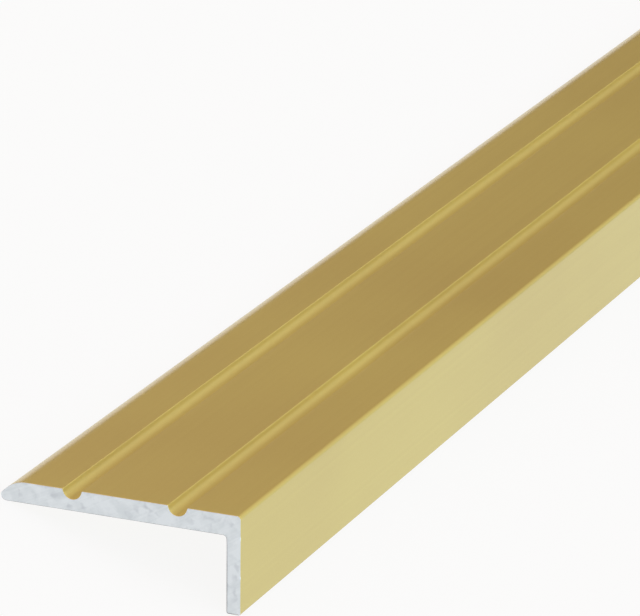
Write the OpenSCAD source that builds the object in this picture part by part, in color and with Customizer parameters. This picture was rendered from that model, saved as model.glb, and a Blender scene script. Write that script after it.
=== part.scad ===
// Stair nosing: one cut length of extruded aluminium angle that guards the front edge of a step.
// The section is drawn as it is fitted: the tread face lies on y = 0 and the nose face on x = 0.
// The piece is then laid as it rests on a level floor, on its toe and on the foot of its riser leg.

/* [Stock] */
// Length of the piece as it is sold
stock_length = 900; // [300:50:2700]

/* [Tread leg] */
// Width over the tread, from the tip of the toe to the nose face
tread_width = 25; // [22:0.5:50]
// Thickness of the tread leg
tread_thickness = 2.1; // [1.8:0.05:3.5]

/* [Riser leg] */
// Height of the nose face, from the tread face down to the foot
riser_height = 10; // [6:0.5:40]
// Thickness of the riser leg
riser_thickness = 1.45; // [1:0.05:3]

/* [Grip grooves] */
// Number of grooves along the tread
groove_count = 2; // [0:1:2]
// Depth of a groove below the tread face
groove_depth = 0.95; // [0.5:0.05:1.2]
// Slope of the two walls of a groove
groove_wall_angle = 72; // [50:1:80]
// Radius of the bottom of a groove
groove_bottom_radius = 1; // [0.2:0.05:1.2]
// Radius that eases the two lips of a groove
groove_lip_radius = 0.35; // [0.05:0.05:0.5]
// Distance from the nose face to the middle of the first groove
groove_from_nose = 6.5; // [3:0.1:9]
// Distance between the middles of neighbouring grooves
groove_pitch = 11; // [4:0.1:13]

/* [Toe] */
// Slope of the bevel that thins the tread leg down to the floor
bevel_angle = 42; // [30:1:60]
// Radius of the tip of the toe
toe_radius = 0.55; // [0.2:0.05:0.8]
// Radius of the crest where the bevel meets the tread face
crest_radius = 3; // [0.5:0.1:3.5]

/* [Edges] */
// Outer radius of the nose
nose_radius = 0.4; // [0.1:0.1:1]
// Radius in the inner corner between the two legs
inner_radius = 0.4; // [0.1:0.1:1.5]
// Radius of the two edges of the riser leg's foot
foot_radius = 0.2; // [0.05:0.05:0.45]

/* [Hidden] */

// Largest angle between neighbouring points of a round corner
arc_step = 7.5;

// Centres of the rounds at the toe and at the inner and outer edges of the foot
toe_centre = [toe_radius - tread_width, toe_radius - tread_thickness];
foot_inner_centre = [foot_radius - riser_thickness, foot_radius - riser_height];
foot_outer_centre = [-foot_radius, foot_radius - riser_height];

// The bevel touches the toe's round here, and runs from the sharp tip up to the sharp crest.
bevel_touch = toe_centre + toe_radius * [-sin(bevel_angle), cos(bevel_angle)];
crest_x = bevel_touch[0] - bevel_touch[1] / tan(bevel_angle);
tip_x = bevel_touch[0] - (bevel_touch[1] + tread_thickness) / tan(bevel_angle);

// The crest's round and the bottom of a groove are no larger than the faces beside them leave room for.
bevel_length = -bevel_touch[1] / sin(bevel_angle);
crest_fit_radius = min(crest_radius, bevel_length / tan(bevel_angle / 2));
groove_room = groove_depth / (1 - cos(groove_wall_angle)) - groove_lip_radius;
groove_fit_radius = min(groove_bottom_radius, groove_room);

// A groove's walls would meet in a sharp corner this far down, and leave the tread face this far from its middle.
groove_sharp_depth = groove_depth + groove_fit_radius * (1 / cos(groove_wall_angle) - 1);
groove_half_width = groove_sharp_depth / tan(groove_wall_angle);

// Turn that brings the toe and the foot's inner edge down to the same level
rest_span = foot_inner_centre - toe_centre;
rest_angle = asin((foot_radius - toe_radius) / norm(rest_span)) - atan2(rest_span[1], rest_span[0]);

// Middle of the floor under the turned section
rest_left = turned(toe_centre)[0] - toe_radius;
rest_right = turned(foot_outer_centre)[0] + foot_radius;
rest_level = turned(toe_centre)[1] - toe_radius;
rest_middle = [(rest_left + rest_right) / 2, rest_level];

function turned(p) = [
    p[0] * cos(rest_angle) - p[1] * sin(rest_angle),
    p[0] * sin(rest_angle) + p[1] * cos(rest_angle)
];

function unit(v) = v / norm(v);

// Three sharp corners of one groove, each as [x, y, radius], in order from the nose towards the toe
function groove_corners(middle) = [
    [middle + groove_half_width, 0, groove_lip_radius],
    [middle, -groove_sharp_depth, groove_fit_radius],
    [middle - groove_half_width, 0, groove_lip_radius]
];

// Sharp corners of the whole section, each as [x, y, radius], anticlockwise from the nose
function section_corners() = [
    [0, 0, nose_radius],
    for (i = [0:1:groove_count - 1]) each groove_corners(-groove_from_nose - i * groove_pitch),
    [crest_x, 0, crest_fit_radius],
    [tip_x, -tread_thickness, toe_radius],
    [-riser_thickness, -tread_thickness, inner_radius],
    [-riser_thickness, -riser_height, foot_radius],
    [0, -riser_height, foot_radius]
];

// Points of the arc that rounds the corner at b, on the way from a to c
function corner_arc(a, b, c, radius) =
    let (
        to_a = unit(a - b),
        to_c = unit(c - b),
        half = acos(to_a * to_c) / 2,
        centre = b + unit(to_a + to_c) * radius / sin(half),
        start = b + to_a * radius / tan(half) - centre,
        left_turn = to_a[1] * to_c[0] - to_a[0] * to_c[1] > 0,
        sweep = (left_turn ? 1 : -1) * (180 - 2 * half),
        steps = ceil(abs(sweep) / arc_step),
        start_angle = atan2(start[1], start[0])
    )
    [for (i = [0:steps]) centre + radius * [
        cos(start_angle + sweep * i / steps),
        sin(start_angle + sweep * i / steps)
    ]];

// Outline through corners, each rounded by its own radius
function rounded(corners) =
    let (n = len(corners), at = function (i) [corners[i % n][0], corners[i % n][1]])
    [for (i = [0:n - 1]) each corner_arc(at(i + n - 1), at(i), at(i + 1), corners[i][2])];

// The extruded bar, with both ends sawn square
module nosing_profile() {
    color("#b39a58")
        rotate([90, 0, 0])
            linear_extrude(stock_length, center = true)
                translate(-rest_middle)
                    rotate(rest_angle)
                        polygon(rounded(section_corners()));
}

nosing_profile();
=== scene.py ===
"""Stair nosing: one sawn length of satin gold-anodised aluminium angle, lying on a pale studio floor.

The section is worked out as it is fitted, in millimetres, with the tread face on y = 0 and the nose face on
x = 0. It is then turned to the way the piece lies unheld, on its toe and on the foot of its riser leg.
"""

import logging
import math
from dataclasses import dataclass, field
from enum import Enum, IntEnum
from typing import Any

import bpy
import numpy as np
from mathutils import Matrix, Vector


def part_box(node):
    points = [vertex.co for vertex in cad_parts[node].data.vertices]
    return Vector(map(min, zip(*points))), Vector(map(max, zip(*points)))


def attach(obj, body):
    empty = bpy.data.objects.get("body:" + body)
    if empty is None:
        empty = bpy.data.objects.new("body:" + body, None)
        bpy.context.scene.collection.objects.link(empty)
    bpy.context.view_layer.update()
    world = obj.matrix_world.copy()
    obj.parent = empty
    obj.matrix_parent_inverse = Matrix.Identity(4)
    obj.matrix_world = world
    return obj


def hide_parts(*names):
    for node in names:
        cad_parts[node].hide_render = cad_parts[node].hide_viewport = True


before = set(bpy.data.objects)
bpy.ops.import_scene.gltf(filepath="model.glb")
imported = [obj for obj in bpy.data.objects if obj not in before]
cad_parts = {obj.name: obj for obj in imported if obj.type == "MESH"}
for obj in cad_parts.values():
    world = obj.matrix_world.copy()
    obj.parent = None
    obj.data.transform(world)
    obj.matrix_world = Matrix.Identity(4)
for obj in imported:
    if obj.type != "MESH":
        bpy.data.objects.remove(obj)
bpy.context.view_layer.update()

LOG = logging.getLogger("stair_nosing")

MM = 0.001
IMAGE_WIDTH_PX = 640
NODE = "nosing_profile"
BODY = "root"
# Angles of the stations on the quarter round that eases a sawn end's edge
QUARTER_DEG = (0.0, 30.0, 60.0, 90.0)
# Neighbours closer than this are one point, and points closer than this to the nose face lie on it
SAME_POINT_MM = 1e-4
ON_FACE_MM = 0.01
# Levels between which nearly all of a noise lies
NOISE_SPAN = (0.3, 0.7)


class Corner(IntEnum):
    """Where a named sharp corner stands in the section's list of corners, below 0 counted from its end."""

    NOSE = 0
    FIRST_LIP = 1
    CREST = -5
    TIP = -4
    INNER = -3
    FOOT_INNER = -2
    FOOT_OUTER = -1


class Skin(IntEnum):
    """Material slots of the bar: its drawn faces, its sawn ends, and the burr on their lower edges with its
    painted shade.
    """

    ANODISED = 0
    SAWN = 1
    BURR_SHADE = 2


class End(Enum):
    """The two sawn ends, by their sign along the length."""

    NEAR = -1
    FAR = 1


class MixSocket(IntEnum):
    """Numbers of a Mix node's sockets, whose names repeat for each kind of data that it mixes."""

    FACTOR = 0
    FLOAT_A = 2
    FLOAT_B = 3
    COLOUR_A = 6
    COLOUR_B = 7


class MixResult(IntEnum):
    """Numbers of a Mix node's outputs."""

    FLOAT = 0
    COLOUR = 2


def linear(hex_colour: str) -> tuple[float, float, float, float]:
    """Turns an sRGB hex colour into linear light, in a straight line up to 0.04045 and by a power above it.

    Args:
        hex_colour: Colour as "#rrggbb".

    Returns:
        Linear red, green and blue, and full alpha.
    """
    srgb = np.array([int(hex_colour[i:i + 2], 16) for i in (1, 3, 5)]) / 255.0
    rgb = np.where(srgb <= 0.04045, srgb / 12.92, ((srgb + 0.055) / 1.055) ** 2.4)
    return (*rgb.tolist(), 1.0)


def per_mm(size_mm: float) -> float:
    """Scale of a pattern whose features are size_mm across, for coordinates in metres."""
    return 1.0 / (size_mm * MM)


def unit(vectors: np.ndarray) -> np.ndarray:
    """Rows of an array, each divided by its own length."""
    return vectors / np.linalg.norm(vectors, axis=-1, keepdims=True)


def between(begin: np.ndarray, end: np.ndarray, share: np.ndarray) -> np.ndarray:
    """Points on the straight line from begin to end, one for each share of the way."""
    return begin + (end - begin) * share[:, None]


def rim(grid: np.ndarray) -> np.ndarray:
    """Entries once round a grid's edge: along the first v, up the last line, back along the last v, home."""
    return np.concatenate([grid[:, 0], grid[-1, 1:-1], grid[::-1, -1], grid[0, -2:0:-1]])


def quads(ids: np.ndarray) -> np.ndarray:
    """Four vertex numbers for each cell of a grid of them, turning from the first axis to the second."""
    return np.stack([ids[:-1, :-1], ids[1:, :-1], ids[1:, 1:], ids[:-1, 1:]], axis=-1).reshape(-1, 4)


def mesh_piece(name: str, points: np.ndarray, faces: np.ndarray, slots: np.ndarray) -> bpy.types.Object:
    """Puts arrays of points and four-sided faces into a smooth-shaded mesh object at the origin.

    Args:
        name: Name of the piece.
        points: One row of x, y and z for each vertex, in metres.
        faces: Four vertex numbers for each face, turning outwards.
        slots: Material slot of each face.

    Returns:
        The object, linked to the scene.
    """
    mesh = bpy.data.meshes.new(name)
    mesh.vertices.add(len(points))
    mesh.vertices.foreach_set("co", points.ravel())
    mesh.loops.add(faces.size)
    mesh.loops.foreach_set("vertex_index", faces.ravel())
    mesh.polygons.add(len(faces))
    mesh.polygons.foreach_set("loop_start", np.arange(0, faces.size, faces.shape[1]))
    mesh.polygons.foreach_set("material_index", slots)
    mesh.polygons.foreach_set("use_smooth", np.ones(len(faces), dtype=bool))
    mesh.update(calc_edges=True)
    mesh.validate()
    piece = bpy.data.objects.new(name, mesh)
    bpy.context.scene.collection.objects.link(piece)
    return piece


def add_node(
    tree: bpy.types.NodeTree, kind: str, inputs: dict[Any, Any] | None = None, **settings: Any
) -> bpy.types.Node:
    """Adds one shader node with its settings, values and links.

    Args:
        tree: Node tree that takes the node.
        kind: Blender's type name of the node.
        inputs: For each socket, by name or number, its value or the output socket to link to it.
        settings: Properties of the node itself.

    Returns:
        The new node.
    """
    node = tree.nodes.new(kind)
    for name, value in settings.items():
        setattr(node, name, value)
    for key, value in (inputs or {}).items():
        if isinstance(value, bpy.types.NodeSocket):
            tree.links.new(value, node.inputs[key])
        else:
            node.inputs[key].default_value = value
    return node


def new_tree(owner: bpy.types.Material | bpy.types.World) -> bpy.types.NodeTree:
    """Switches a material or world to nodes.

    Args:
        owner: The material or world.

    Returns:
        Its node tree, emptied.
    """
    owner.use_nodes = True
    owner.node_tree.nodes.clear()
    return owner.node_tree


@dataclass
class RoundedOutline:
    """A closed outline through sharp corners, each rounded by its own radius.

    A corner's arc has its centre on the bisector, radius / sin(half angle) from the corner, and it starts
    where the side that comes from the corner before touches it.

    Attributes:
        corners: One row of x, y and radius for each corner, anticlockwise.
        centre: Centre of each corner's arc.
        start: Angle at which each arc starts, in radians.
        sweep: Angle through which each arc runs, in radians, below 0 where it is hollow.
    """

    corners: np.ndarray
    centre: np.ndarray = field(init=False)
    start: np.ndarray = field(init=False)
    sweep: np.ndarray = field(init=False)

    def __post_init__(self) -> None:
        """Works out every corner's arc at once."""
        points, radius = self.corners[:, :2], self.corners[:, 2]
        back = unit(np.roll(points, 1, axis=0) - points)
        ahead = unit(np.roll(points, -1, axis=0) - points)
        half = np.arccos(np.sum(back * ahead, axis=1)) / 2
        self.centre = points + unit(back + ahead) * (radius / np.sin(half))[:, None]
        touch = points + back * (radius / np.tan(half))[:, None] - self.centre
        self.start = np.arctan2(touch[:, 1], touch[:, 0])
        left_turn = back[:, 1] * ahead[:, 0] - back[:, 0] * ahead[:, 1] > 0
        self.sweep = np.where(left_turn, 1.0, -1.0) * (math.pi - 2 * half)

    def arc(self, corner: int, share: np.ndarray) -> np.ndarray:
        """Points of a corner's arc.

        Args:
            corner: Number of the corner.
            share: How far along the arc each point lies, 0 at its start and 1 at its end.

        Returns:
            One row of x and y for each point.
        """
        angle = self.start[corner] + self.sweep[corner] * share
        spoke = np.stack([np.cos(angle), np.sin(angle)], axis=-1)
        return self.centre[corner] + self.corners[corner, 2] * spoke

    def arc_begin(self, corner: int) -> np.ndarray:
        """Point where a corner's arc starts."""
        return self.arc(corner, np.zeros(1))[0]

    def arc_end(self, corner: int) -> np.ndarray:
        """Point where a corner's arc ends."""
        return self.arc(corner, np.ones(1))[0]

    def arc_shares(self, corner: int, step_deg: float) -> np.ndarray:
        """Even shares of a corner's arc, no more than step_deg apart, with both its ends."""
        return np.linspace(0.0, 1.0, math.ceil(math.degrees(abs(self.sweep[corner])) / step_deg) + 1)

    def side(self, corner: int, following: int, spacing: float) -> np.ndarray:
        """Points inside the straight side between two corners' arcs, evenly spaced.

        Args:
            corner: Corner that the side leaves.
            following: Corner that the side reaches.
            spacing: Largest distance between neighbouring points.

        Returns:
            One row of x and y for each point, without the two ends.
        """
        begin, end = self.arc_end(corner), self.arc_begin(following)
        steps = max(2, math.ceil(np.linalg.norm(end - begin) / spacing))
        return between(begin, end, np.linspace(0.0, 1.0, steps + 1)[1:-1])


@dataclass(frozen=True)
class NosingSection:
    """The extruded section as it is fitted, in millimetres.

    Attributes:
        tread_width: From the tip of the toe to the nose face.
        tread_thickness: Thickness of the tread leg.
        riser_height: From the tread face down to the foot.
        riser_thickness: Thickness of the riser leg.
        groove_middles: Distance of each grip groove's middle from the nose face.
        groove_depth: Below the tread face.
        groove_wall: Slope of a groove's walls, in degrees.
        groove_round: Radius of a groove's bottom.
        lip_radius: Eases the two lips of a groove, drawn crisper than the solid's 0.35 mm.
        bevel_angle: Slope of the toe's bevel, in degrees.
        toe_radius: Round tip of the toe.
        crest_radius: Where the bevel runs out into the tread face.
        nose_radius: Outer edge between tread face and nose face.
        inner_radius: Corner between the two legs.
        foot_radius: Edges of the riser leg's foot.
        spacing: Largest distance between points on a flat side.
        arc_step: Largest angle between points on an arc, in degrees.
        rows: Steps through the thickness of a leg.
        toe_share: Share of the toe's arc that belongs to the upper side, and likewise to the underside.
        wall_weight: How much a groove's steep wall counts when tread points are paired with the underside.
    """

    tread_width: float = 25.0
    tread_thickness: float = 2.1
    riser_height: float = 10.0
    riser_thickness: float = 1.45
    groove_middles: tuple[float, ...] = (6.5, 17.5)
    groove_depth: float = 0.95
    groove_wall: float = 72.0
    groove_round: float = 1.0
    lip_radius: float = 0.1
    bevel_angle: float = 42.0
    toe_radius: float = 0.55
    crest_radius: float = 3.0
    nose_radius: float = 0.4
    inner_radius: float = 0.4
    foot_radius: float = 0.2
    spacing: float = 0.2
    arc_step: float = 4.0
    rows: int = 16
    toe_share: float = 0.32
    wall_weight: float = 0.35

    @property
    def toe_centre(self) -> np.ndarray:
        """Centre of the toe's round tip."""
        return np.array([self.toe_radius - self.tread_width, self.toe_radius - self.tread_thickness])

    @property
    def foot_inner_centre(self) -> np.ndarray:
        """Centre of the round on the foot's inner edge."""
        return np.array([self.foot_radius - self.riser_thickness, self.foot_radius - self.riser_height])

    @property
    def foot_outer_centre(self) -> np.ndarray:
        """Centre of the round on the foot's outer edge."""
        return np.array([-self.foot_radius, self.foot_radius - self.riser_height])

    def groove_corners(self, middle: float) -> list[list[float]]:
        """The three sharp corners of one groove, whose walls run on under its round bottom until they meet.

        Args:
            middle: Distance of the groove's middle from the nose face.

        Returns:
            x, y and radius of each corner, from the nose towards the toe.
        """
        slope = math.radians(self.groove_wall)
        sharp_depth = self.groove_depth + self.groove_round * (1 / math.cos(slope) - 1)
        half = sharp_depth / math.tan(slope)
        return [
            [half - middle, 0.0, self.lip_radius],
            [-middle, -sharp_depth, self.groove_round],
            [-half - middle, 0.0, self.lip_radius],
        ]

    def outline(self) -> RoundedOutline:
        """The rounded section, anticlockwise from the nose.

        The bevel is the tangent of the toe's round at the bevel's slope, so the sharp crest and the sharp tip
        are where that tangent meets the tread face and the underside.

        Returns:
            The section's outline.
        """
        slope = math.radians(self.bevel_angle)
        touch = self.toe_centre + self.toe_radius * np.array([-math.sin(slope), math.cos(slope)])
        crest_x = touch[0] - touch[1] / math.tan(slope)
        tip_x = touch[0] - (touch[1] + self.tread_thickness) / math.tan(slope)
        under, foot, inside = -self.tread_thickness, -self.riser_height, -self.riser_thickness
        grooves = [corner for middle in self.groove_middles for corner in self.groove_corners(middle)]
        return RoundedOutline(np.array([
            [0.0, 0.0, self.nose_radius],
            *grooves,
            [crest_x, 0.0, self.crest_radius],
            [tip_x, under, self.toe_radius],
            [inside, under, self.inner_radius],
            [inside, foot, self.foot_radius],
            [0.0, foot, self.foot_radius],
        ]))

    def tread_points(self, outline: RoundedOutline) -> np.ndarray:
        """Points of the tread from the nose's arc to the toe's: its flats, its grooves and the bevel.

        Args:
            outline: The rounded section.

        Returns:
            One row of x and y for each point, none of them twice.
        """
        runs = [outline.side(Corner.NOSE, Corner.FIRST_LIP, self.spacing)]
        for corner in range(Corner.FIRST_LIP, len(outline.corners) + Corner.CREST + 1):
            runs.append(outline.arc(corner, outline.arc_shares(corner, self.arc_step)))
            runs.append(outline.side(corner, corner + 1, self.spacing))
        points = np.concatenate(runs)
        apart = np.linalg.norm(np.diff(points, axis=0), axis=1) > SAME_POINT_MM
        return points[np.concatenate([[True], apart])]

    def patch(self) -> np.ndarray:
        """The whole section as one grid, P(u, v) = (1 - v) outer(u) + v inner(u).

        u runs from the foot up the nose face, over the tread with its grooves and down to the toe, and v runs
        through the leg from its outer to its inner side. Equal arcs face each other at the foot, the nose and
        the toe. Points of the grooved tread are paired with the flat underside by the distance they advance,
        in which a steep wall counts little. The last line of the grid is the tip of the toe, along its arc.

        Returns:
            Points in millimetres, shaped (u, v, 2).
        """
        outline = self.outline()
        foot = outline.arc_shares(Corner.FOOT_OUTER, self.arc_step)
        nose = outline.arc_shares(Corner.NOSE, self.arc_step)
        toe = outline.arc_shares(Corner.TIP, self.arc_step) * self.toe_share

        face = outline.side(Corner.FOOT_OUTER, Corner.NOSE, self.spacing)
        climbed = np.linspace(0.0, 1.0, len(face) + 2)[1:-1]
        tread = self.tread_points(outline)
        way = np.vstack([outline.arc_end(Corner.NOSE), tread, outline.arc_begin(Corner.TIP)])
        stride = np.abs(np.diff(way, axis=0)) @ [1.0, self.wall_weight]
        advance = (np.cumsum(stride) / stride.sum())[:-1]

        outer = np.concatenate([
            outline.arc(Corner.FOOT_OUTER, foot),
            face,
            outline.arc(Corner.NOSE, nose),
            tread,
            outline.arc(Corner.TIP, toe),
        ])
        inner = np.concatenate([
            outline.arc(Corner.FOOT_INNER, 1 - foot),
            between(outline.arc_begin(Corner.FOOT_INNER), outline.arc_end(Corner.INNER), climbed),
            outline.arc(Corner.INNER, 1 - nose),
            between(outline.arc_begin(Corner.INNER), outline.arc_end(Corner.TIP), advance),
            outline.arc(Corner.TIP, 1 - toe),
        ])
        through = np.linspace(0.0, 1.0, self.rows + 1)
        grid = outer[:, None] + (inner - outer)[:, None] * through[None, :, None]
        grid[-1] = outline.arc(Corner.TIP, self.toe_share + (1 - 2 * self.toe_share) * through)
        return grid

    def rest_angle(self) -> float:
        """Turn that brings the toe and the foot's inner edge down to the same level.

        Returns:
            The turn in radians: the slope between the two rounds' centres, set right for their unequal radii.
        """
        span = self.foot_inner_centre - self.toe_centre
        lean = math.asin((self.foot_radius - self.toe_radius) / np.linalg.norm(span))
        return lean - math.atan2(span[1], span[0])

    def turned(self, points: np.ndarray) -> np.ndarray:
        """Points of the fitted section, turned by the rest angle about the nose."""
        cos, sin = math.cos(self.rest_angle()), math.sin(self.rest_angle())
        return points @ np.array([[cos, sin], [-sin, cos]])

    def laid(self, points: np.ndarray) -> np.ndarray:
        """Turns points of the fitted section to the way the piece lies, over the middle of its floor.

        Args:
            points: Fitted x and y in millimetres, in the last axis.

        Returns:
            Floor x and z in millimetres, in the last axis.
        """
        toe = self.turned(self.toe_centre)
        foot = self.turned(self.foot_outer_centre)
        middle = (toe[0] - self.toe_radius + foot[0] + self.foot_radius) / 2
        return self.turned(points) - np.array([middle, toe[1] - self.toe_radius])


@dataclass(frozen=True)
class GoldAnodising:
    """Extruded aluminium, etched matt, dyed gold and sealed.

    The etch gives a broad satin sheen, the dye sits in the clear oxide so the metal under it shines gold, and
    the oxide's smooth skin adds a pale gloss at a flat angle. The die leaves faint lines along the length.

    Attributes:
        name: The finish's common name.
        gold: Usual tone of the dyed oxide.
        deep_gold: Tone where the dye took more strongly.
        edge_gold: Tone towards which the metal turns at a flat angle.
        roughness: Least and most satin.
        coat: Share of the oxide's own gloss.
        coat_roughness: Roughness of the oxide's skin.
        oxide_ior: Index of sealed anodic oxide.
        die_line_mm: Spacing of the die's lines across the piece.
        die_run_mm: How far a line keeps its tone along the piece.
        die_detail: Finer layers in the lines.
        cloud_mm: Size of the slow changes of tone in the dye.
        cloud_detail: Finer layers in those changes.
        line_tone: How much the lines change the dye's tone, beside its slow changes.
        line_relief: How much the lines add to the relief, beside the grain.
        grain_mm: Size of the etch's grain. The real one is near 0.03 mm, and it is drawn coarser to show.
        grain_detail: Finer layers in the grain.
        grain_depth_mm: Height of the grain and the lines together.
    """

    name: str = "satin_gold_anodised_aluminium"
    gold: str = "#dbcc7e"
    deep_gold: str = "#d4c278"
    edge_gold: str = "#e8dd97"
    roughness: tuple[float, float] = (0.57, 0.63)
    coat: float = 0.96
    coat_roughness: float = 0.22
    oxide_ior: float = 1.6
    die_line_mm: float = 0.5
    die_run_mm: float = 140.0
    die_detail: float = 3.0
    cloud_mm: float = 30.0
    cloud_detail: float = 2.0
    line_tone: float = 0.3
    line_relief: float = 0.3
    grain_mm: float = 0.16
    grain_detail: float = 1.0
    grain_depth_mm: float = 0.002

    def material(self) -> bpy.types.Material:
        """Builds the finish as a node material on Object coordinates.

        Returns:
            The material.
        """
        finish = bpy.data.materials.new(self.name)
        tree = new_tree(finish)
        place = add_node(tree, "ShaderNodeTexCoord").outputs["Object"]
        across, along = per_mm(self.die_line_mm), per_mm(self.die_run_mm)
        drawn = add_node(tree, "ShaderNodeMapping", {"Vector": place, "Scale": (across, along, across)})
        lines = add_node(tree, "ShaderNodeTexNoise", {
            "Vector": drawn.outputs[0], "Scale": 1.0, "Detail": self.die_detail})
        cloud = add_node(tree, "ShaderNodeTexNoise", {
            "Vector": place, "Scale": per_mm(self.cloud_mm), "Detail": self.cloud_detail})
        grain = add_node(tree, "ShaderNodeTexNoise", {
            "Vector": place, "Scale": per_mm(self.grain_mm), "Detail": self.grain_detail})
        tone = add_node(tree, "ShaderNodeMix", {
            MixSocket.FACTOR: self.line_tone, MixSocket.FLOAT_A: cloud.outputs["Fac"],
            MixSocket.FLOAT_B: lines.outputs["Fac"]}, data_type="FLOAT")
        dye = add_node(tree, "ShaderNodeValToRGB", {"Fac": tone.outputs[MixResult.FLOAT]})
        for stop, level, colour in zip(dye.color_ramp.elements, NOISE_SPAN, (self.deep_gold, self.gold)):
            stop.position = level
            stop.color = linear(colour)
        satin = add_node(tree, "ShaderNodeMapRange", {
            "Value": grain.outputs["Fac"], "From Min": NOISE_SPAN[0], "From Max": NOISE_SPAN[1],
            "To Min": self.roughness[0], "To Max": self.roughness[1]})
        relief = add_node(tree, "ShaderNodeMix", {
            MixSocket.FACTOR: self.line_relief, MixSocket.FLOAT_A: grain.outputs["Fac"],
            MixSocket.FLOAT_B: lines.outputs["Fac"]}, data_type="FLOAT")
        bump = add_node(tree, "ShaderNodeBump", {
            "Height": relief.outputs[MixResult.FLOAT], "Strength": 1.0, "Distance": self.grain_depth_mm * MM})
        metal = add_node(tree, "ShaderNodeBsdfPrincipled", {
            "Base Color": dye.outputs["Color"], "Metallic": 1.0, "Roughness": satin.outputs["Result"],
            "Specular Tint": linear(self.edge_gold), "Coat Weight": self.coat,
            "Coat Roughness": self.coat_roughness, "Coat IOR": self.oxide_ior,
            "Normal": bump.outputs["Normal"]})
        add_node(tree, "ShaderNodeOutputMaterial", {"Surface": metal.outputs[0]})
        return finish


@dataclass(frozen=True)
class SawnAluminium:
    """Bare aluminium as a circular saw leaves it.

    The teeth leave a pale grey with faint curved score marks, and the metal smears into soft patches and a
    few smudges.

    Attributes:
        name: The finish's common name.
        pale: Where the blade cut clean.
        smeared: Where the metal smeared.
        smudge: The few dull spots.
        roughness: Least and most rough.
        blade_centre_mm: Axis of the saw blade in the section's plane, as floor x and z.
        score_mm: Spacing of the score marks.
        score_detail: Finer layers in the score marks.
        score_share: How much the score marks change the tone, beside the patches.
        score_depth_mm: Height of the score marks.
        patch_mm: Size of the smeared patches.
        patch_detail: Finer layers in the patches.
        patch_swirl: How much the smearing bends the patches.
        patch_span: Noise levels at which the metal is all smeared and all clean.
        smudge_mm: Size of the smudges.
        smudge_detail: Finer layers in the smudges.
        smudge_swirl: How much the smearing bends the smudges.
        smudge_span: Noise levels at which a smudge begins and is full.
        smudge_share: How much of its own tone a full smudge takes.
    """

    name: str = "sawn_bare_aluminium"
    pale: str = "#ebf0f2"
    smeared: str = "#dce2e5"
    smudge: str = "#bec3c9"
    roughness: tuple[float, float] = (0.42, 0.55)
    blade_centre_mm: tuple[float, float] = (-96.0, 92.0)
    score_mm: float = 0.22
    score_detail: float = 3.0
    score_share: float = 0.18
    score_depth_mm: float = 0.0015
    patch_mm: float = 1.3
    patch_detail: float = 2.0
    patch_swirl: float = 0.4
    patch_span: tuple[float, float] = (0.36, 0.6)
    smudge_mm: float = 0.8
    smudge_detail: float = 1.0
    smudge_swirl: float = 0.3
    smudge_span: tuple[float, float] = (0.56, 0.8)
    smudge_share: float = 0.55

    def material(self) -> bpy.types.Material:
        """Builds the finish as a node material on Object coordinates.

        The score marks are a noise over the distance from the blade's axis, so they are arcs.

        Returns:
            The material.
        """
        finish = bpy.data.materials.new(self.name)
        tree = new_tree(finish)
        place = add_node(tree, "ShaderNodeTexCoord").outputs["Object"]
        axis = (self.blade_centre_mm[0] * MM, 0.0, self.blade_centre_mm[1] * MM)
        spoke = add_node(tree, "ShaderNodeVectorMath", {0: place, 1: axis}, operation="SUBTRACT")
        flat = add_node(tree, "ShaderNodeVectorMath", {
            0: spoke.outputs[0], 1: (1.0, 0.0, 1.0)}, operation="MULTIPLY")
        reach = add_node(tree, "ShaderNodeVectorMath", {0: flat.outputs[0]}, operation="LENGTH")
        scores = add_node(tree, "ShaderNodeTexNoise", {
            "W": reach.outputs["Value"], "Scale": per_mm(self.score_mm), "Detail": self.score_detail},
            noise_dimensions="1D")
        patches = add_node(tree, "ShaderNodeTexNoise", {
            "Vector": place, "Scale": per_mm(self.patch_mm), "Detail": self.patch_detail,
            "Distortion": self.patch_swirl})
        tone = add_node(tree, "ShaderNodeMix", {
            MixSocket.FACTOR: self.score_share, MixSocket.FLOAT_A: patches.outputs["Fac"],
            MixSocket.FLOAT_B: scores.outputs["Fac"]}, data_type="FLOAT")
        grey = add_node(tree, "ShaderNodeValToRGB", {"Fac": tone.outputs[MixResult.FLOAT]})
        for stop, level, colour in zip(grey.color_ramp.elements, self.patch_span, (self.smeared, self.pale)):
            stop.position = level
            stop.color = linear(colour)
        spots = add_node(tree, "ShaderNodeTexNoise", {
            "Vector": place, "Scale": per_mm(self.smudge_mm), "Detail": self.smudge_detail,
            "Distortion": self.smudge_swirl})
        dull = add_node(tree, "ShaderNodeMapRange", {
            "Value": spots.outputs["Fac"], "From Min": self.smudge_span[0], "From Max": self.smudge_span[1],
            "To Min": 0.0, "To Max": self.smudge_share})
        shade = add_node(tree, "ShaderNodeMix", {
            MixSocket.FACTOR: dull.outputs["Result"], MixSocket.COLOUR_A: grey.outputs["Color"],
            MixSocket.COLOUR_B: linear(self.smudge)}, data_type="RGBA")
        rough = add_node(tree, "ShaderNodeMapRange", {
            "Value": patches.outputs["Fac"], "From Min": NOISE_SPAN[0], "From Max": NOISE_SPAN[1],
            "To Min": self.roughness[0], "To Max": self.roughness[1]})
        bump = add_node(tree, "ShaderNodeBump", {
            "Height": scores.outputs["Fac"], "Strength": 1.0, "Distance": self.score_depth_mm * MM})
        metal = add_node(tree, "ShaderNodeBsdfPrincipled", {
            "Base Color": shade.outputs[MixResult.COLOUR], "Metallic": 1.0,
            "Roughness": rough.outputs["Result"], "Normal": bump.outputs["Normal"]})
        add_node(tree, "ShaderNodeOutputMaterial", {"Surface": metal.outputs[0]})
        return finish


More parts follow.
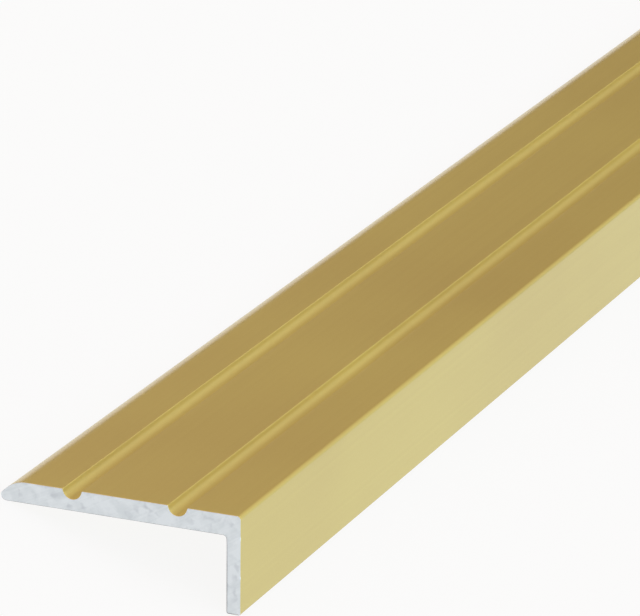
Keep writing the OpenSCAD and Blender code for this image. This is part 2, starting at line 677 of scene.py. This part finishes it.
@dataclass(frozen=True)
class SawBurrShade:
    """The thin lip of torn aluminium that the blade pushes over the edges where it leaves the metal.

    It is rough, and its grey is painted shade: a fine grey line that comes and goes along the lower edges,
    standing in for the shaded floor under the piece that these edges face.

    Attributes:
        name: The finish's common name.
        deep_shade: Painted shade where the grey line is darkest.
        faint_shade: Painted shade where the grey line fades.
        roughness: Roughness of the torn metal.
        patch_mm: How far along the edge the painted grey keeps its tone.
        patch_detail: Finer layers in that tone.
        patch_span: Noise levels at which the painted line is darkest and at which it fades.
    """

    name: str = "torn_aluminium_burr_painted_shade"
    # Painted shade: both greys stand in for the shaded floor that the lower edges face
    deep_shade: str = "#5f6166"
    faint_shade: str = "#b4b6ba"
    roughness: float = 0.7
    patch_mm: float = 3.0
    patch_detail: float = 3.0
    patch_span: tuple[float, float] = (0.4, 0.65)

    def material(self) -> bpy.types.Material:
        """Builds the finish as a node material on Object coordinates.

        Returns:
            The material.
        """
        finish = bpy.data.materials.new(self.name)
        tree = new_tree(finish)
        place = add_node(tree, "ShaderNodeTexCoord").outputs["Object"]
        patches = add_node(tree, "ShaderNodeTexNoise", {
            "Vector": place, "Scale": per_mm(self.patch_mm), "Detail": self.patch_detail})
        # Painted shade: patches between the two greys along the lower edges
        grey = add_node(tree, "ShaderNodeValToRGB", {"Fac": patches.outputs["Fac"]})
        for stop, level, colour in zip(grey.color_ramp.elements, self.patch_span, (self.deep_shade, self.faint_shade)):
            stop.position = level
            stop.color = linear(colour)
        metal = add_node(tree, "ShaderNodeBsdfPrincipled", {
            "Base Color": grey.outputs["Color"], "Metallic": 1.0, "Roughness": self.roughness})
        add_node(tree, "ShaderNodeOutputMaterial", {"Surface": metal.outputs[0]})
        return finish


@dataclass(frozen=True)
class EdgeNick:
    """A small notch in the near end's edge, in millimetres.

    Attributes:
        level: Where it is on the nose face, below 0 for below the tread face.
        half_width: Half its width along the edge.
        depth: What it adds to the size of the eased edge.
    """

    level: float
    half_width: float
    depth: float


@dataclass
class NosingBar:
    """The extruded bar with its two sawn ends.

    Attributes:
        section: The section that is carried along the length.
        length_mm: Length of the piece.
        edge_break_mm: Usual size of the eased edge round a sawn end.
        burr_mm: Extra size of that edge where the blade leaves the metal and the burr is full.
        burr_rise_mm: Height below the tread leg over which the burr grows full.
        tread_burr: Share of that extra size under the tread leg, which the blade cuts first.
        edge_wander_mm: How much that size wanders round the end.
        edge_waves: How often each wave of that wander comes once round the end.
        nicks: Nicks in the near end's edge.
        chatter_mm: Spacing of the saw's coarse waves on the ends.
        chatter_depth_mm: Depth of those waves.
        end_stations_mm: Extra stations behind each end.
        station_mm: Largest distance between stations along the rest.
        seed: Start of the random phases of the edge's wander.
        burr_and_shade_start: Point of the ring from which the edge carries the burr and its painted shade,
            from the tip of the toe on.
    """

    section: NosingSection
    length_mm: float
    edge_break_mm: float = 0.016
    burr_mm: float = 0.085
    burr_rise_mm: float = 1.0
    tread_burr: float = 0.3
    edge_wander_mm: float = 0.008
    edge_waves: tuple[int, ...] = (5, 9, 13, 17, 21, 25)
    nicks: tuple[EdgeNick, ...] = (
        EdgeNick(level=-2.25, half_width=0.14, depth=0.12),
        EdgeNick(level=-6.2, half_width=0.12, depth=0.1),
    )
    chatter_mm: float = 0.9
    chatter_depth_mm: float = 0.005
    end_stations_mm: tuple[float, ...] = (0.3, 0.7, 1.5, 3.0, 7.0, 15.0)
    station_mm: float = 25.0
    seed: int = 7
    burr_and_shade_start: int = field(init=False, default=0)

    def edge_break(self, ring: np.ndarray, end: End) -> np.ndarray:
        """Size of the eased edge at every point round a sawn end.

        A few sine waves of seeded phase round the outline make it wander. The burr grows over the first
        stretch below the tread leg, and a bell curve adds each nick.

        Args:
            ring: Points round the section.
            end: The end that it is for.

        Returns:
            Sizes in millimetres.
        """
        waves = np.array(self.edge_waves)
        phases = np.random.default_rng(self.seed + end.value).uniform(0.0, math.tau, len(waves))
        turn = np.linspace(0.0, math.tau, len(ring), endpoint=False)
        wander = np.sin(np.outer(turn, waves) + phases).mean(axis=1)
        size = self.edge_break_mm + self.edge_wander_mm * wander
        below = np.clip((-ring[:, 1] - self.section.tread_thickness) / self.burr_rise_mm, 0.0, 1.0)
        burr = self.burr_mm * (self.tread_burr + (1 - self.tread_burr) * below)
        size[self.burr_and_shade_start:] += burr[self.burr_and_shade_start:]
        if end is End.NEAR:
            on_face = ring[:, 0] > -ON_FACE_MM
            for nick in self.nicks:
                size += on_face * nick.depth * np.exp(-((ring[:, 1] - nick.level) / nick.half_width) ** 2)
        return size

    def sides(self, ring: np.ndarray) -> tuple[np.ndarray, np.ndarray]:
        """Carries the outline along the length and eases its edge at both ends by a quarter round.

        At the angle a of the quarter round, the outline lies (1 - sin a) of the edge's size inside its full
        one, and (1 - cos a) of it behind the end.

        Args:
            ring: Points round the section.

        Returns:
            Section points shaped (stations, points, 2), and the place of each along the length.
        """
        tangent = unit(np.roll(ring, -1, axis=0) - np.roll(ring, 1, axis=0))
        inward = np.stack([-tangent[:, 1], tangent[:, 0]], axis=1)
        half = self.length_mm / 2
        quarter = np.radians(QUARTER_DEG)
        behind = np.array(self.end_stations_mm)
        inner_half = half - behind[-1]
        steps = math.ceil(2 * inner_half / self.station_mm)
        middle = np.linspace(-inner_half, inner_half, steps + 1)[1:-1]
        front = np.concatenate([np.full(len(quarter), -half), behind - half])
        along = np.concatenate([front, middle, -front[::-1]])
        inset = np.zeros((len(along), len(ring)))
        shift = np.zeros_like(inset)
        near, far = self.edge_break(ring, End.NEAR), self.edge_break(ring, End.FAR)
        inset[:len(quarter)] = np.outer(1 - np.sin(quarter), near)
        shift[:len(quarter)] = np.outer(1 - np.cos(quarter), near)
        inset[:-len(quarter) - 1:-1] = np.outer(1 - np.sin(quarter), far)
        shift[:-len(quarter) - 1:-1] = -np.outer(1 - np.cos(quarter), far)
        return ring + inward * inset[..., None], along[:, None] + shift

    def cap(
        self, ring: np.ndarray, rim_ids: np.ndarray, shape: tuple[int, int], blade: tuple[float, float]
    ) -> np.ndarray:
        """Points inside a sawn end, ruled between the two sides of its edge.

        The saw's waves sink the points by depth (1 + sin(tau r / spacing)) / 2, with r the distance from the
        blade's axis.

        Args:
            ring: Points round the end, in floor x and z.
            rim_ids: Where each of those stands in the section's grid, counted row by row.
            shape: Lines and rows of the grid.
            blade: Axis of the saw blade as floor x and z.

        Returns:
            Floor x, z and the sunk depth of the points inside the rim, in millimetres.
        """
        grid = np.zeros((shape[0] * shape[1], 2))
        grid[rim_ids] = ring
        grid = grid.reshape(*shape, 2)
        through = np.linspace(0.0, 1.0, shape[1])[None, :, None]
        ruled = grid[:, :1] + (grid[:, -1:] - grid[:, :1]) * through
        inside = ruled[1:-1, 1:-1].reshape(-1, 2)
        reach = np.linalg.norm(inside - np.array(blade), axis=1)
        sunk = self.chatter_depth_mm * (1 + np.sin(math.tau * reach / self.chatter_mm)) / 2
        return np.column_stack([inside, sunk])

    def build(self, blade: tuple[float, float]) -> bpy.types.Object:
        """Makes the closed mesh of the bar: its sides, the eased edges and the two sawn ends.

        Args:
            blade: Axis of the saw blade as floor x and z.

        Returns:
            The object, with a face's material slot set to the skin it shows.
        """
        patch = self.section.patch()
        shape = patch.shape[:2]
        lines, rows = shape
        self.burr_and_shade_start = lines + rows // 2
        rim_ids = rim(np.arange(lines * rows).reshape(shape))
        outline, along = self.sides(rim(patch))
        stations, around = along.shape
        laid = self.section.laid(outline)
        side = np.stack([laid[..., 0], along, laid[..., 1]], axis=-1).reshape(-1, 3)
        side_ids = np.arange(stations * around).reshape(stations, around)
        looped = np.concatenate([side_ids, side_ids[:, :1]], axis=1)

        points, faces = [side], [quads(looped)]
        for end, station in ((End.NEAR, 0), (End.FAR, stations - 1)):
            inside = self.cap(laid[station], rim_ids, shape, blade)
            level = end.value * (self.length_mm / 2 - inside[:, 2])
            ids = np.zeros(lines * rows, dtype=int)
            ids[rim_ids] = side_ids[station]
            ids = ids.reshape(shape)
            first = sum(map(len, points))
            ids[1:-1, 1:-1] = first + np.arange(len(inside)).reshape(lines - 2, rows - 2)
            points.append(np.column_stack([inside[:, 0], level, inside[:, 1]]))
            faces.append(quads(ids) if end is End.NEAR else quads(ids)[:, ::-1])

        eased = len(QUARTER_DEG) - 1
        skin = np.full((stations - 1, around), Skin.ANODISED, dtype=int)
        # The eased lower edges take the burr's grey, which is painted shade
        skin[:eased] = skin[-eased:] = np.where(np.arange(around) < self.burr_and_shade_start, Skin.SAWN, Skin.BURR_SHADE)
        slots = np.concatenate([skin.ravel(), np.full(len(faces[1]) + len(faces[2]), Skin.SAWN)])
        return mesh_piece("nosing_bar", np.concatenate(points) * MM, np.concatenate(faces), slots)

    def dress(
        self, piece: bpy.types.Object, gold: GoldAnodising, sawn: SawnAluminium, burr: SawBurrShade
    ) -> None:
        """Gives the bar its finishes and ties it to the CAD node that it stands for.

        Args:
            piece: The bar's object.
            gold: Finish of the drawn faces.
            sawn: Finish of the ends.
            burr: Finish of the lower edges of the ends, with its painted shade.
        """
        for finish in (gold, sawn, burr):
            piece.data.materials.append(finish.material())
        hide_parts(NODE)
        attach(piece, BODY)


@dataclass(frozen=True)
class PhotoCamera:
    """Long-lens camera at the photograph's viewing angle.

    Attributes:
        standpoint_mm: Place seen from the nose's top corner at the near end of the fitted piece: right of the
            nose face, behind that end, and above the tread face.
        yaw: Turn to the left of the length, in degrees.
        tilt: Look down on the tread face, in degrees.
        roll: Turn about the line of sight, in degrees.
        focal_px: Focal length in pixels of the photograph.
        sensor_mm: Width of the sensor.
        nearest: Nearest distance that it sees, in metres.
        farthest: Farthest distance that it sees, in metres.
    """

    standpoint_mm: tuple[float, float, float] = (187.650, -427.396, 177.285)
    yaw: float = 22.8082
    tilt: float = 18.5432
    roll: float = 0.4552
    focal_px: float = 5317.9
    sensor_mm: float = 36.0
    nearest: float = 0.01
    farthest: float = 100.0

    def build(self, section: NosingSection, length_mm: float) -> bpy.types.Object:
        """Stands the camera by the piece as it lies and makes it the scene's camera.

        Args:
            section: The section, which knows how the piece lies.
            length_mm: Length of the piece.

        Returns:
            The camera.
        """
        yaw, tilt, roll = np.radians([self.yaw, self.tilt, self.roll])
        ahead = np.array([-math.sin(yaw) * math.cos(tilt), math.cos(yaw) * math.cos(tilt), -math.sin(tilt)])
        level = np.array([math.cos(yaw), math.sin(yaw), 0.0])
        upright = np.cross(level, ahead)
        right = level * math.cos(roll) + upright * math.sin(roll)
        up = upright * math.cos(roll) - level * math.sin(roll)
        fitted = np.stack([right, up, -ahead])
        axes = fitted.copy()
        axes[:, [0, 2]] = section.turned(fitted[:, [0, 2]])
        x, y, z = self.standpoint_mm
        floor_x, floor_z = section.laid(np.array([x, z])) * MM
        place = np.eye(4)
        place[:3, :3] = axes.T
        place[:3, 3] = floor_x, (y - length_mm / 2) * MM, floor_z

        lens = bpy.data.cameras.new("photo_camera")
        lens.sensor_fit = "HORIZONTAL"
        lens.sensor_width = self.sensor_mm
        lens.lens = self.focal_px / IMAGE_WIDTH_PX * self.sensor_mm
        lens.clip_start = self.nearest
        lens.clip_end = self.farthest
        camera = bpy.data.objects.new("photo_camera", lens)
        camera.matrix_world = Matrix(place.tolist())
        bpy.context.scene.collection.objects.link(camera)
        bpy.context.scene.camera = camera
        return camera


@dataclass(frozen=True)
class SkyGlow:
    """A broad soft light in the studio's sky.

    Its brightness in a direction is level * max(0, c) ** sharpness, with c the cosine of the angle from its
    axis.

    Attributes:
        axis: Direction towards its middle.
        level: Brightness at its middle.
        colour: Its tint.
        sharpness: The larger, the narrower the glow.
    """

    axis: tuple[float, float, float]
    level: float
    colour: str
    sharpness: float = 4.0

    def light(self, tree: bpy.types.NodeTree, way: bpy.types.NodeSocket) -> bpy.types.NodeSocket:
        """Adds the glow to a sky's nodes.

        Args:
            tree: The sky's node tree.
            way: Socket that gives the direction looked in.

        Returns:
            Socket with the glow's light in that direction.
        """
        aim = tuple(unit(np.array(self.axis)).tolist())
        cosine = add_node(tree, "ShaderNodeVectorMath", {0: way, 1: aim}, operation="DOT_PRODUCT")
        facing = add_node(tree, "ShaderNodeMath", {0: cosine.outputs["Value"], 1: 0.0}, operation="MAXIMUM")
        lobe = add_node(tree, "ShaderNodeMath", {0: facing.outputs[0], 1: self.sharpness}, operation="POWER")
        bright = add_node(tree, "ShaderNodeMath", {0: lobe.outputs[0], 1: self.level}, operation="MULTIPLY")
        tinted = add_node(tree, "ShaderNodeVectorMath", {
            0: linear(self.colour)[:3], "Scale": bright.outputs[0]}, operation="SCALE")
        return tinted.outputs[0]


@dataclass(frozen=True)
class Studio:
    """Pale floor under a sky of broad soft glows, cool on the right and in front and warm elsewhere.

    Attributes:
        floor_side: Side of the floor, in metres.
        floor_drop: How far the floor lies under the piece, in metres, so that no face lies in the floor.
        floor_colour: Colour of the floor.
        backdrop: Plain white that the camera and the metal see in the floor.
        floor_white: Share of that white, beside the floor's shaded colour.
        glows: The sky's lights.
    """

    floor_side: float = 60.0
    floor_drop: float = 0.00002
    floor_colour: str = "#cccccc"
    backdrop: str = "#ffffff"
    floor_white: float = 0.9
    glows: tuple[SkyGlow, ...] = (
        SkyGlow(axis=(0.95, 0.1, 0.3), level=1.47, colour="#e0f4ff"),
        SkyGlow(axis=(-0.35, 0.0, 0.94), level=1.51, colour="#ffe9d6"),
        SkyGlow(axis=(-0.95, 0.1, 0.3), level=0.98, colour="#ffe9e9"),
        SkyGlow(axis=(0.5, -0.8, 0.35), level=1.42, colour="#e1e9ff"),
        SkyGlow(axis=(0.2, 0.6, 0.75), level=0.54, colour="#fff4d6", sharpness=10.0),
        SkyGlow(axis=(0.6, 0.5, 0.6), level=1.0, colour="#fdf9da", sharpness=6.0),
    )

    def floor_material(self) -> bpy.types.Material:
        """Builds the floor's paper: mostly plain white to the camera and the metal, matt to other light.

        Returns:
            The material.
        """
        paper = bpy.data.materials.new("matt_white_paper")
        tree = new_tree(paper)
        path = add_node(tree, "ShaderNodeLightPath").outputs
        seen = add_node(tree, "ShaderNodeMath", {
            0: path["Is Camera Ray"], 1: path["Is Glossy Ray"]}, operation="ADD", use_clamp=True)
        shown = add_node(tree, "ShaderNodeMath", {
            0: seen.outputs[0], 1: path["Is Transmission Ray"]}, operation="ADD", use_clamp=True)
        share = add_node(tree, "ShaderNodeMath", {
            0: shown.outputs[0], 1: self.floor_white}, operation="MULTIPLY")
        matt = add_node(tree, "ShaderNodeBsdfDiffuse", {"Color": linear(self.floor_colour)})
        white = add_node(tree, "ShaderNodeEmission", {"Color": linear(self.backdrop), "Strength": 1.0})
        both = add_node(tree, "ShaderNodeMixShader", {
            0: share.outputs[0], 1: matt.outputs[0], 2: white.outputs[0]})
        add_node(tree, "ShaderNodeOutputMaterial", {"Surface": both.outputs[0]})
        return paper

    def build_floor(self) -> bpy.types.Object:
        """Lays the floor as one square.

        Returns:
            The floor.
        """
        half = self.floor_side / 2
        corners = np.array([[-half, -half], [half, -half], [half, half], [-half, half]])
        points = np.column_stack([corners, np.full(len(corners), -self.floor_drop)])
        mesh = bpy.data.meshes.new("studio_floor")
        mesh.from_pydata(points.tolist(), [], [(0, 1, 2, 3)])
        mesh.materials.append(self.floor_material())
        floor = bpy.data.objects.new("studio_floor", mesh)
        bpy.context.scene.collection.objects.link(floor)
        return floor

    def build_sky(self) -> None:
        """Lights the scene from a sky that is the sum of its glows."""
        world = bpy.data.worlds.new("studio_sky")
        tree = new_tree(world)
        way = add_node(tree, "ShaderNodeTexCoord").outputs["Generated"]
        total, *others = [glow.light(tree, way) for glow in self.glows]
        for light in others:
            total = add_node(tree, "ShaderNodeVectorMath", {0: total, 1: light}, operation="ADD").outputs[0]
        shine = add_node(tree, "ShaderNodeBackground", {"Color": total, "Strength": 1.0})
        add_node(tree, "ShaderNodeOutputWorld", {"Surface": shine.outputs[0]})
        bpy.context.scene.world = world

    def build(self) -> None:
        """Builds the floor and the sky."""
        self.build_floor()
        self.build_sky()


def main() -> None:
    """Builds the camera, the bar and the studio in order, and reports each piece."""
    logging.basicConfig(level=logging.INFO, format="%(name)s: %(message)s")
    low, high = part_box(NODE)
    length_mm = (high[1] - low[1]) / MM
    section = NosingSection()
    gold, sawn, burr = GoldAnodising(), SawnAluminium(), SawBurrShade()

    camera = PhotoCamera().build(section, length_mm)
    LOG.info("%s: %.1f mm lens", camera.name, camera.data.lens)

    bar = NosingBar(section, length_mm)
    piece = bar.build(sawn.blade_centre_mm)
    bar.dress(piece, gold, sawn, burr)
    vertices, faces = len(piece.data.vertices), len(piece.data.polygons)
    LOG.info("%s: %d vertices, %d faces, %.1f mm long", piece.name, vertices, faces, length_mm)

    Studio().build()
    bpy.context.scene.view_settings.view_transform = "Standard"
    LOG.info("studio: floor and sky")


if __name__ == "__main__":
    main()
